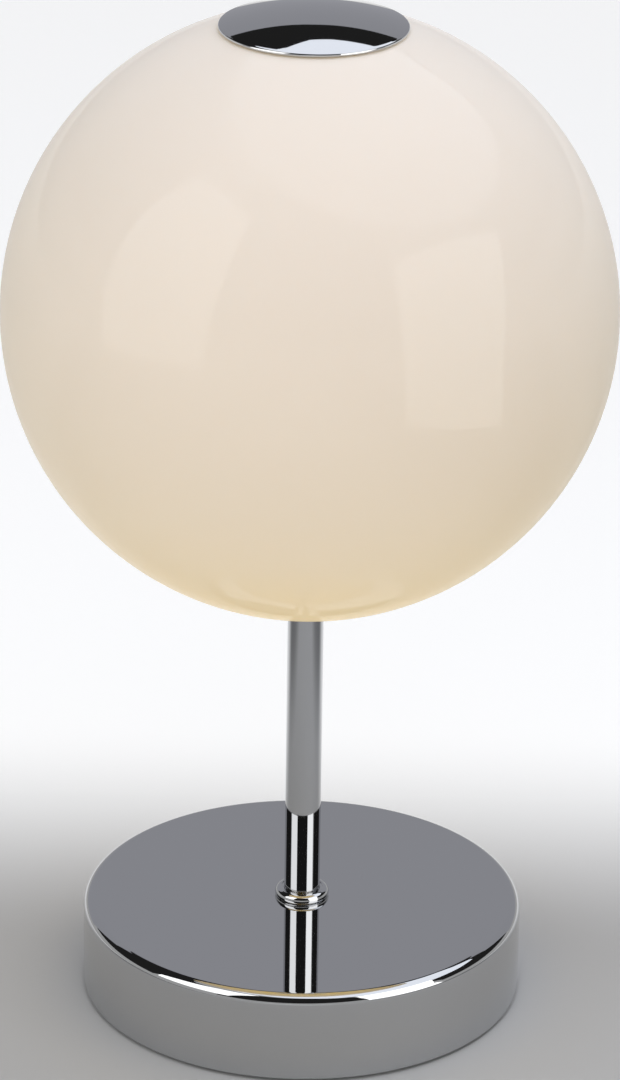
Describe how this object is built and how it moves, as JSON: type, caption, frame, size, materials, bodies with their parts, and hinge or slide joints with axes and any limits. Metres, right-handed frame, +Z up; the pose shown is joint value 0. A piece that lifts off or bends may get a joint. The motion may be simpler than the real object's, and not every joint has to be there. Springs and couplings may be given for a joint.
{
  "type": "glass globe table lamp",
  "caption": "Table lamp with an opal glass globe under a small chromed cap, on a slim chromed stem and a heavy round chromed base.",
  "frame": {"origin": "on the table surface, on the lamp's vertical axis", "axes": "+Z up along the stem, -Y to the front, +Y to the rear where the cord inlet is, +X to the right seen from the front"},
  "size_m": [0.2, 0.2, 0.3438],
  "materials": {
    "chrome": "polished chromium plate",
    "opal_glass": "glossy opal glass",
    "foam_pad": "matt black foam",
    "zinc_steel": "bright zinc plate",
    "cast_iron": "black paint on cast iron",
    "black_plastic": "matt black",
    "white_plastic": "satin white",
    "brass": "turned brass",
    "clear_silicone": "milky clear silicone",
    "aluminium": "turned",
    "white_ceramic": "unglazed steatite",
    "tinned_copper": "tinned",
    "frosted_plastic": "milky translucent",
    "circuit_board": "white solder mask",
    "phosphor": "yellow phosphor",
    "brown_insulation": "silicone insulation",
    "blue_insulation": "silicone insulation",
    "earth_insulation": "green and yellow insulation"
  },
  "bodies": {
    "lamp": {"base_pad": "foam_pad", "base_plate": "zinc_steel", "plate_screws": "zinc_steel", "base_cover": "chrome", "inlet_bush": "black_plastic", "base_weight": "cast_iron", "base_washer": "zinc_steel", "earth_tag": "tinned_copper", "lock_washer": "zinc_steel", "pipe_nuts": "zinc_steel", "terminal_block": "white_plastic", "terminal_inserts": "brass", "terminal_screws": "zinc_steel", "block_screw": "zinc_steel", "threaded_tube": "zinc_steel", "stem_tube": "chrome", "stem_collar": "chrome", "globe_seat": "chrome", "lower_gasket": "clear_silicone", "globe_glass": "opal_glass", "upper_gasket": "clear_silicone", "clamp_washer": "aluminium", "holder_bracket": "zinc_steel", "side_screws": "zinc_steel", "lamp_holder": "white_ceramic", "holder_contacts": "tinned_copper", "line_lead": "brown_insulation", "neutral_lead": "blue_insulation", "earth_lead": "earth_insulation"},
    "cap": {"globe_cap": "chrome", "cap_gasket": "clear_silicone", "cap_ring": "zinc_steel"},
    "bulb": {"bulb_base": "white_plastic", "bulb_pins": "tinned_copper", "bulb_cover": "frosted_plastic", "led_board": "circuit_board", "led_chips": "phosphor"}
  },
  "joints": [
    {"name": "cap_lift", "type": "slide", "parent": "lamp", "child": "cap", "axis": [0, 0, 1], "range_m": [0, 0.1]},
    {"name": "bulb_pull", "type": "slide", "parent": "lamp", "child": "bulb", "axis": [0, 0, 1], "range_m": [0, 0.06]}
  ]
}
